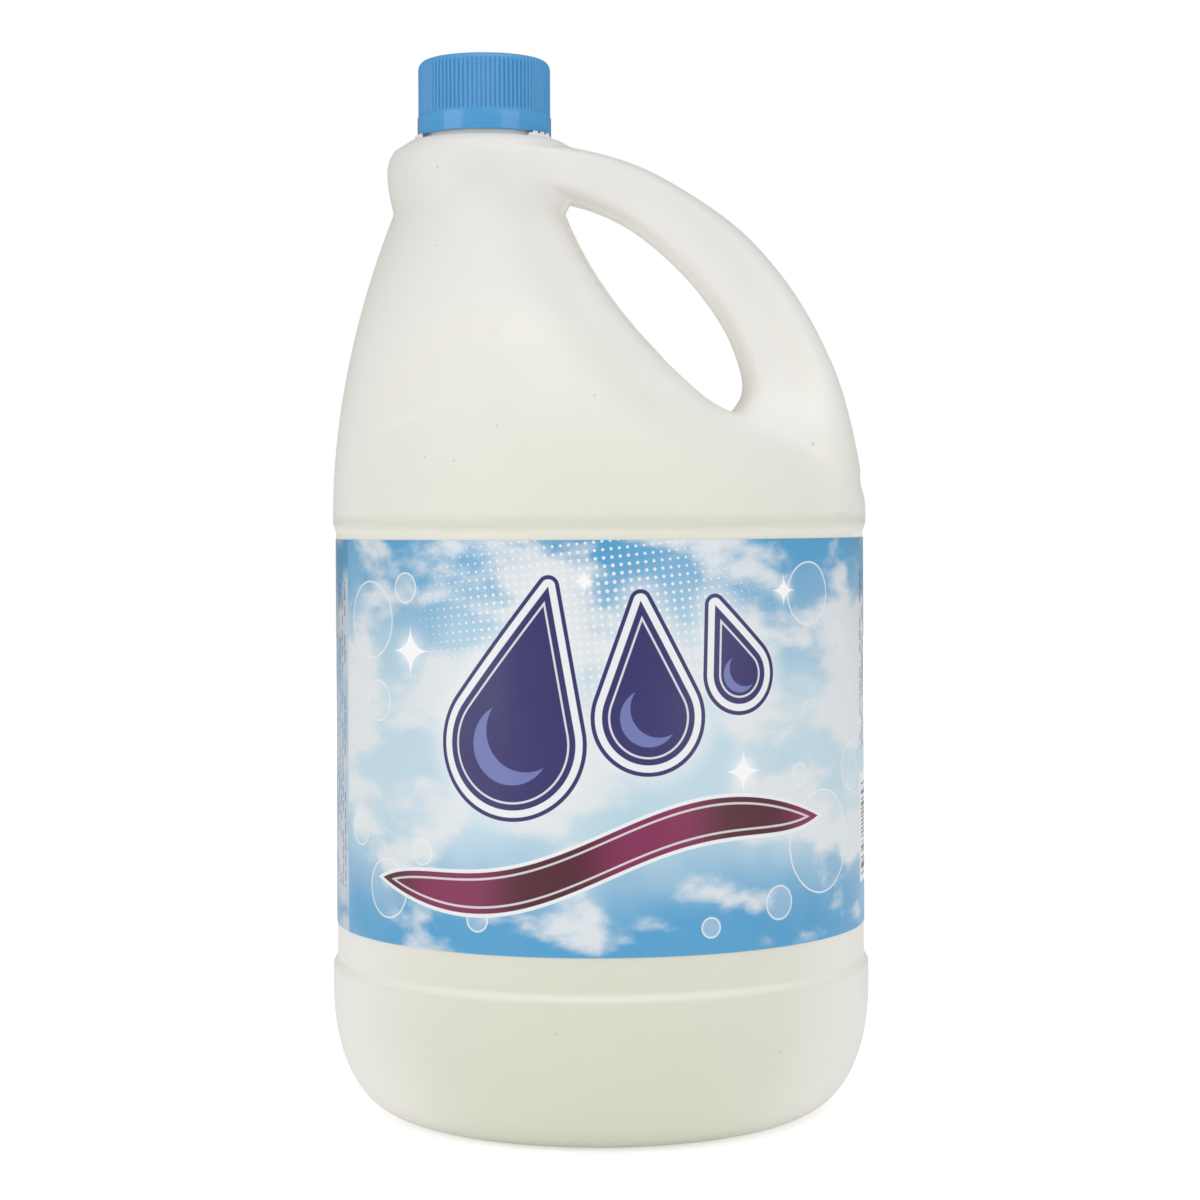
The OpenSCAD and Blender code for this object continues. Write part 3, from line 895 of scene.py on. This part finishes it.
def cap_material(grain):
    """Sky blue moulded plastic: smoother on the band, with painted shade in the grooves between the
    ribs. The grooves lie where the cosine of 90 times the angle is lowest."""
    material, sheet, shader = new_material("blue_cap_plastic")
    parts = sheet.parts(sheet.place())
    group = sheet.group(grain, 1400.0, 160.0)
    beside = sheet.minus(parts[0], NECK_X * MM)
    angle = sheet.math("ARCTAN2", parts[1], beside)
    wave = sheet.math("COSINE", sheet.times(angle, float(RIB_COUNT)))
    groove = sheet.math("POWER", sheet.times(sheet.minus(1.0, wave), 0.5), 2.0)
    band_top = (CAP_BOTTOM + BAND_H) * MM
    ribbed = sheet.times(sheet.ramp(parts[2], band_top, band_top + 0.0012),
                        sheet.ramp(parts[2], CAP_TOP * MM - 0.0008, CAP_TOP * MM - 0.0022))
    tone = sheet.blend(sheet.ramp(group[1], 0.35, 0.65, 0.0, 0.25), colour(82, 160, 217),
                       colour(94, 170, 222))
    # Painted shade in the grooves between the ribs.
    tone = sheet.over(tone, sheet.times(groove, ribbed), (44, 104, 162), 0.5)
    rough = sheet.ramp(parts[2], band_top, band_top + 0.0003, 0.13, 0.30)
    sheet.finish(shader, tone, rough, group[0], 0.08, 0.0001)
    return material


def liner_material(grain):
    """White pressed foam with fine open pores."""
    material, sheet, shader = new_material("liner_foam")
    group = sheet.group(grain, 2600.0, 500.0)
    tone = sheet.blend(group[1], colour(236, 235, 230), colour(214, 213, 207))
    sheet.finish(shader, tone, 0.75, group[0], 0.5, 0.0002)
    return material


def liquid_material():
    """Clear yellow green liquid, a little darker in streaks."""
    material, sheet, shader = new_material("bleach_liquid")
    place = sheet.place()
    streak = sheet.noise(place, 18.0, 2.0)
    tone = sheet.blend(streak, colour(236, 240, 196), colour(222, 230, 168))
    sheet.feed(shader.inputs["Base Color"], tone)
    shader.inputs["Roughness"].default_value = 0.05
    shader.inputs["IOR"].default_value = 1.34
    shader.inputs["Transmission Weight"].default_value = 0.5
    return material


BLUE, PALE, CLOUD = (82, 162, 209), (196, 221, 233), (231, 235, 237)
NAVY, LILAC = (52, 48, 108), (122, 132, 192)
MAROON, PLUM = (84, 26, 44), (134, 36, 84)
WHITE = (240, 242, 243)

# Pitch of the printed dots, in millimetres
DOT_PITCH = 2.2
# The wave, in millimetres: half length, height of its middle, rise for each step along, half
# width, swing and its wave's length over a full turn in radians
WAVE_HALF, WAVE_UP, WAVE_RISE, WAVE_WIDE, WAVE_SWING, WAVE_RUN = 68.0, 26.0, 0.17, 5.6, 4.5, 17.0
# Bubbles on the label: place round and up in millimetres, radius and share of white inside
BUBBLES = [
    (-74, 88, 10.5, 0.10), (-58, 97, 4.0, 0.22), (-84, 70, 3.2, 0.25), (-70, 66, 5.5, 0.12),
    (70, 27, 14.0, 0.10), (88, 46, 6.5, 0.16), (52, 12, 4.5, 0.22), (60, 46, 3.0, 0.30),
    (-66, 15, 8.0, 0.12), (-52, 26, 3.4, 0.25), (-80, 30, 4.5, 0.18), (64, 95, 8.5, 0.10),
    (80, 82, 4.2, 0.22), (30, 7, 2.6, 0.30), (-34, 9, 3.0, 0.25),
]
# Drops: place, tilt in degrees, radius, height of the point
DROPS = [(-24, 56, 14, 17.5, 43), (13, 63, -4, 12.5, 31), (39, 74, -22, 8.0, 20)]
# Sparkles: place and size
SPARKLES = [(-56, 80, 8.0), (54, 96, 5.0), (40, 48, 6.5), (-4, 99, 3.5)]


def label_sky(sheet, place, up):
    """Sky, bright in the middle of its height, with clouds and a fan of white dots."""
    soft = sheet.minus(sheet.noise(place, 0.022, 3.0, 0.5, flat=True), 0.5)
    level = sheet.plus(up, sheet.times(soft, 34.0))
    deep = sheet.math("MAXIMUM", sheet.ramp(level, 66, 112), sheet.ramp(level, 40, 4))
    tone = sheet.blend(deep, colour(*PALE), colour(*BLUE))
    flat = sheet.vector("MULTIPLY", place, (0.8, 1.5, 0))
    puff = sheet.noise(flat, 0.034, 6.0, 0.52, flat=True)
    band = sheet.times(sheet.ramp(sheet.size(sheet.minus(up, 64.0)), 52, 6), 0.14)
    cloud = sheet.ramp(sheet.plus(puff, band), 0.50, 0.68)
    tone = sheet.over(tone, cloud, CLOUD, 0.92)
    leaning = sheet.turn(place, (0, 0, 0), math.radians(-6))
    cell = sheet.vector("MULTIPLY", leaning, (1 / DOT_PITCH, 1 / DOT_PITCH, 0))
    cell = sheet.vector("FRACTION", cell, (0, 0, 0))
    off = sheet.vector("DISTANCE", cell, (0.5, 0.5, 0), 1)
    reach = sheet.vector("DISTANCE", sheet.vector("MULTIPLY", place, (0.62, 1, 0)), (-2, 90, 0), 1)
    size = sheet.ramp(reach, 44, 8, 0.0, 0.25)
    dots = sheet.ramp(sheet.minus(size, off), -0.03, 0.05)
    return sheet.over(tone, dots, WHITE, 0.95)


def label_front(sheet, place, tone, circle, drop, sparkle):
    """Bubbles, a tapering wave, a cluster of outlined drops and sparkles."""
    spots = [sheet.group(circle, place, (x, y, 0), r, 0.5) for x, y, r, _ in BUBBLES]
    fills = [sheet.times(spot[0], share)
             for spot, (_, _, _, share) in zip(spots, BUBBLES)]
    rings = sheet.times(sheet.most([spot[1] for spot in spots]), 0.85)
    tone = sheet.over(tone, sheet.math("MAXIMUM", sheet.most(fills), rings), WHITE)
    parts = sheet.parts(place)
    swing = sheet.times(sheet.math("SINE", sheet.math("DIVIDE", parts[0], WAVE_RUN)), WAVE_SWING)
    swing = sheet.plus(swing, sheet.times(parts[0], WAVE_RISE))
    share = sheet.math("DIVIDE", parts[0], WAVE_HALF)
    width = sheet.times(sheet.minus(1.0, sheet.math("POWER", sheet.size(share), 5.0)), WAVE_WIDE)
    above = sheet.minus(sheet.minus(parts[1], WAVE_UP), swing)
    beside = sheet.minus(sheet.size(above), width)
    cloth = sheet.blend(sheet.ramp(sheet.math("SINE", sheet.math("DIVIDE", parts[0], 9.0)), -0.9,
                                   0.9), colour(*MAROON), colour(*PLUM))
    line = sheet.minus(sheet.size(sheet.plus(beside, 1.7)), 0.3)
    cloth = sheet.over(cloth, sheet.ramp(line, 0.12, -0.12), WHITE, 0.75)
    tone = sheet.over(tone, sheet.ramp(beside, 1.1, 0.9), WHITE)
    tone = sheet.blend(sheet.ramp(beside, 0.12, -0.12), tone, cloth)
    gaps = [sheet.group(drop, place, (x, y, 0), math.radians(tilt), r, h)[0]
            for x, y, tilt, r, h in DROPS]
    gap = gaps[0]
    for other in gaps[1:]:
        gap = sheet.math("SMOOTH_MIN", gap, other, 1.5)
    glow = sheet.times(sheet.ramp(gap, 9.0, 2.0), 0.55)
    tone = sheet.over(tone, glow, WHITE)
    tone = sheet.over(tone, sheet.ramp(gap, 3.1, 2.9), NAVY)
    tone = sheet.over(tone, sheet.ramp(gap, 2.0, 1.8), WHITE)
    tone = sheet.over(tone, sheet.ramp(gap, 0.1, -0.1), NAVY)
    inline = sheet.minus(sheet.size(sheet.plus(gap, 1.9)), 0.28)
    tone = sheet.over(tone, sheet.ramp(inline, 0.1, -0.1), WHITE, 0.85)
    shines = []
    for x, y, tilt, r, h in DROPS:
        lit = sheet.group(circle, place, (x, y, 0), 0.62 * r, 0.1)[0]
        dark = sheet.group(circle, place, (x + 0.22 * r, y + 0.2 * r, 0), 0.62 * r, 0.1)[0]
        shines.append(sheet.minus(lit, dark, clamp=True))
    tone = sheet.over(tone, sheet.most(shines), LILAC, 0.85)
    stars = [sheet.group(sparkle, place, (x, y, 0), size) for x, y, size in SPARKLES]
    shine = sheet.times(sheet.most([star[1] for star in stars]), 0.8)
    shine = sheet.math("MAXIMUM", shine, sheet.most([star[0] for star in stars]))
    return sheet.blend(shine, tone, (1, 1, 1, 1))


def label_sides(sheet, place, tone, strokes):
    """Plain bars where small print would stand: a column beside the front, a panel of stripes,
    a white panel on the back, and the darker strip before the lap."""
    parts = sheet.parts(place)
    across, up = parts[0], parts[1]

    def within(value, low, high):
        return sheet.times(sheet.math("GREATER_THAN", value, low),
                          sheet.math("LESS_THAN", value, high))

    def area(a, b, c, d):
        return sheet.times(within(across, a, b), within(up, c, d))

    upright = sheet.flat(up, across)
    column = sheet.group(strokes, upright, 2.9, 3.6)[0]
    column = sheet.times(column, area(98, 121.8, 50, 101))
    tone = sheet.over(tone, column, NAVY, 0.85)
    tone = sheet.over(tone, area(99, 117, 12, 43), WHITE)
    stripe = sheet.noise(sheet.vector("MULTIPLY", place, (0, 1, 0)), 0.9, 1.0, 0.5, flat=True)
    stripe = sheet.times(sheet.math("GREATER_THAN", stripe, 0.5), area(101, 115, 14, 41))
    tone = sheet.over(tone, stripe, (38, 40, 60))
    tone = sheet.over(tone, area(150, 336, 10, 100), WHITE)
    level = sheet.group(strokes, place, 2.6, 5.2)[0]
    block = sheet.math("MAXIMUM", area(156, 238, 16, 84), area(248, 330, 16, 84))
    tone = sheet.over(tone, sheet.times(level, block), NAVY, 0.7)
    tone = sheet.over(tone, sheet.math("MAXIMUM", area(156, 238, 88, 95), area(248, 330, 88, 95)),
                      BLUE)
    tail = sheet.math("GREATER_THAN", across, 352.0)
    tone = sheet.over(tone, tail, (70, 120, 160), 0.30)
    column = sheet.group(strokes, upright, 2.7, 4.4)[0]
    column = sheet.times(column, area(366, 389, 12, 98))
    return sheet.over(tone, column, NAVY, 0.6)


def label_material(grain, circle):
    """Printed glossy film: a sky with generic shapes. Its place is the film's own map, in
    millimetres round from the front and up from the foot."""
    material, sheet, shader = new_material("printed_film")
    map_place = sheet.add("ShaderNodeUVMap", uv_map="print").outputs[0]
    place = sheet.vector("MULTIPLY", map_place, (1000, 1000, 0))
    up = sheet.parts(place)[1]
    tone = label_sky(sheet, place, up)
    tone = label_front(sheet, place, tone, circle, print_drop(), print_sparkle())
    tone = label_sides(sheet, place, tone, print_strokes())
    mottle = sheet.group(grain, 700.0, 90.0)
    rough = sheet.ramp(mottle[1], 0.3, 0.7, 0.26, 0.36)
    sheet.finish(shader, tone, rough, mottle[0], 0.05, 0.0002)
    return material


# The object

grain_group, circle_group = moulded_grain(), print_circle()
make_piece("bottle_moulding", bottle_shells(), bottle_material(grain_group, circle_group),
           "bottle", ["bottle"])
make_piece("screw_cap", cap_shells(), cap_material(grain_group), "cap", ["cap"],
           sharp=50)
label_piece(label_material(grain_group, circle_group))
for kept, look in (("cap_liner", liner_material(grain_group)), ("bleach", liquid_material())):
    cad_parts[kept].data.materials.clear()
    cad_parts[kept].data.materials.append(look)


# Camera, floor and light

CAMERA_AWAY = 0.7719
CAMERA_HIGH = 0.1696
CAMERA_YAW = math.radians(-0.017)
CAMERA_ROLL = math.radians(-0.24)
CAMERA_SHIFT = -0.0684
CAMERA_LENS = 79.41

# Soft boxes: name, place, size and power. All point at the middle of the body.
LIGHTS = [("left", (-1.15, -0.85, 0.5), (0.9, 1.1), 4.6),
          ("right", (1.05, -1.0, 0.5), (0.9, 1.1), 3.5),
          ("top", (0.1, -0.3, 1.5), (1.3, 1.3), 5.7)]
LIGHT_AIM = (0, 0, 0.15)

# Grey of the surroundings as matt and as glossy surfaces see them, and glow of the floor: for
# other surfaces, and what the camera sees more of it near the bottle and far away
AROUND_MATT = 0.55
AROUND_GLOSSY = 0.2
FLOOR_GLOW = 0.14
FLOOR_NEAR = 0.32
FLOOR_FAR = 1.0


def make_camera():
    """The photograph's view: level with the middle of the bottle, the frame set a little low."""
    data = bpy.data.cameras.new("camera")
    data.lens = CAMERA_LENS
    data.sensor_width = 36
    data.shift_y = CAMERA_SHIFT
    data.clip_start, data.clip_end = 0.05, 20
    camera = bpy.data.objects.new("camera", data)
    bpy.context.scene.collection.objects.link(camera)
    camera.location = (0, -CAMERA_AWAY, CAMERA_HIGH)
    camera.rotation_euler = (Euler((math.pi / 2, 0, CAMERA_YAW)).to_matrix()
                             @ Euler((0, 0, CAMERA_ROLL)).to_matrix()).to_euler()
    bpy.context.scene.camera = camera


def add_light(name, place, size, power):
    """A soft box at a place."""
    data = bpy.data.lights.new(name, "AREA")
    data.shape = "RECTANGLE"
    data.size, data.size_y = size
    data.energy = power
    light = bpy.data.objects.new(name, data)
    bpy.context.scene.collection.objects.link(light)
    light.location = place
    light.rotation_mode = "QUATERNION"
    light.rotation_quaternion = (Vector(LIGHT_AIM) - Vector(place)).to_track_quat("-Z", "Y")


def seen_share(sheet):
    """1 where the camera sees the surface, straight or through something clear."""
    path = sheet.add("ShaderNodeLightPath").outputs
    return sheet.math("MAXIMUM", path["Is Camera Ray"], path["Is Transmission Ray"])


def make_surroundings():
    """White backdrop, a plain pale floor and soft studio light."""
    world = bpy.data.worlds.new("studio")
    bpy.context.scene.world = world
    world.use_nodes = True
    sheet = Sheet(world.node_tree)
    background = world.node_tree.nodes["Background"]
    glossy = sheet.add("ShaderNodeLightPath").outputs["Is Glossy Ray"]
    tone = sheet.blend(glossy, (AROUND_MATT,) * 3 + (1,), (AROUND_GLOSSY,) * 3 + (1,))
    tone = sheet.blend(seen_share(sheet), tone, (1, 1, 1, 1))
    sheet.feed(background.inputs["Color"], tone)
    mesh = bpy.data.meshes.new("floor")
    side = 3.0
    mesh.from_pydata([(-side, -side, 0), (side, -side, 0), (side, side, 0), (-side, side, 0)], [],
                     [(0, 1, 2, 3)])
    floor = bpy.data.objects.new("floor", mesh)
    bpy.context.scene.collection.objects.link(floor)
    material, sheet, shader = new_material("floor_white")
    shader.inputs["Base Color"].default_value = (0.9, 0.9, 0.9, 1)
    shader.inputs["Roughness"].default_value = 1.0
    shader.inputs["Specular IOR Level"].default_value = 0.0
    shader.inputs["Emission Color"].default_value = (1, 1, 1, 1)
    place = sheet.place()
    far = sheet.ramp(sheet.vector("LENGTH", place, (0, 0, 0), 1), 0.5, 1.6, FLOOR_NEAR, FLOOR_FAR)
    glow = sheet.plus(FLOOR_GLOW, sheet.times(seen_share(sheet), far))
    sheet.feed(shader.inputs["Emission Strength"], glow)
    mesh.materials.append(material)
    for name, place, size, power in LIGHTS:
        add_light(name, place, size, power)


make_camera()
make_surroundings()
bpy.context.scene.view_settings.view_transform = "Standard"
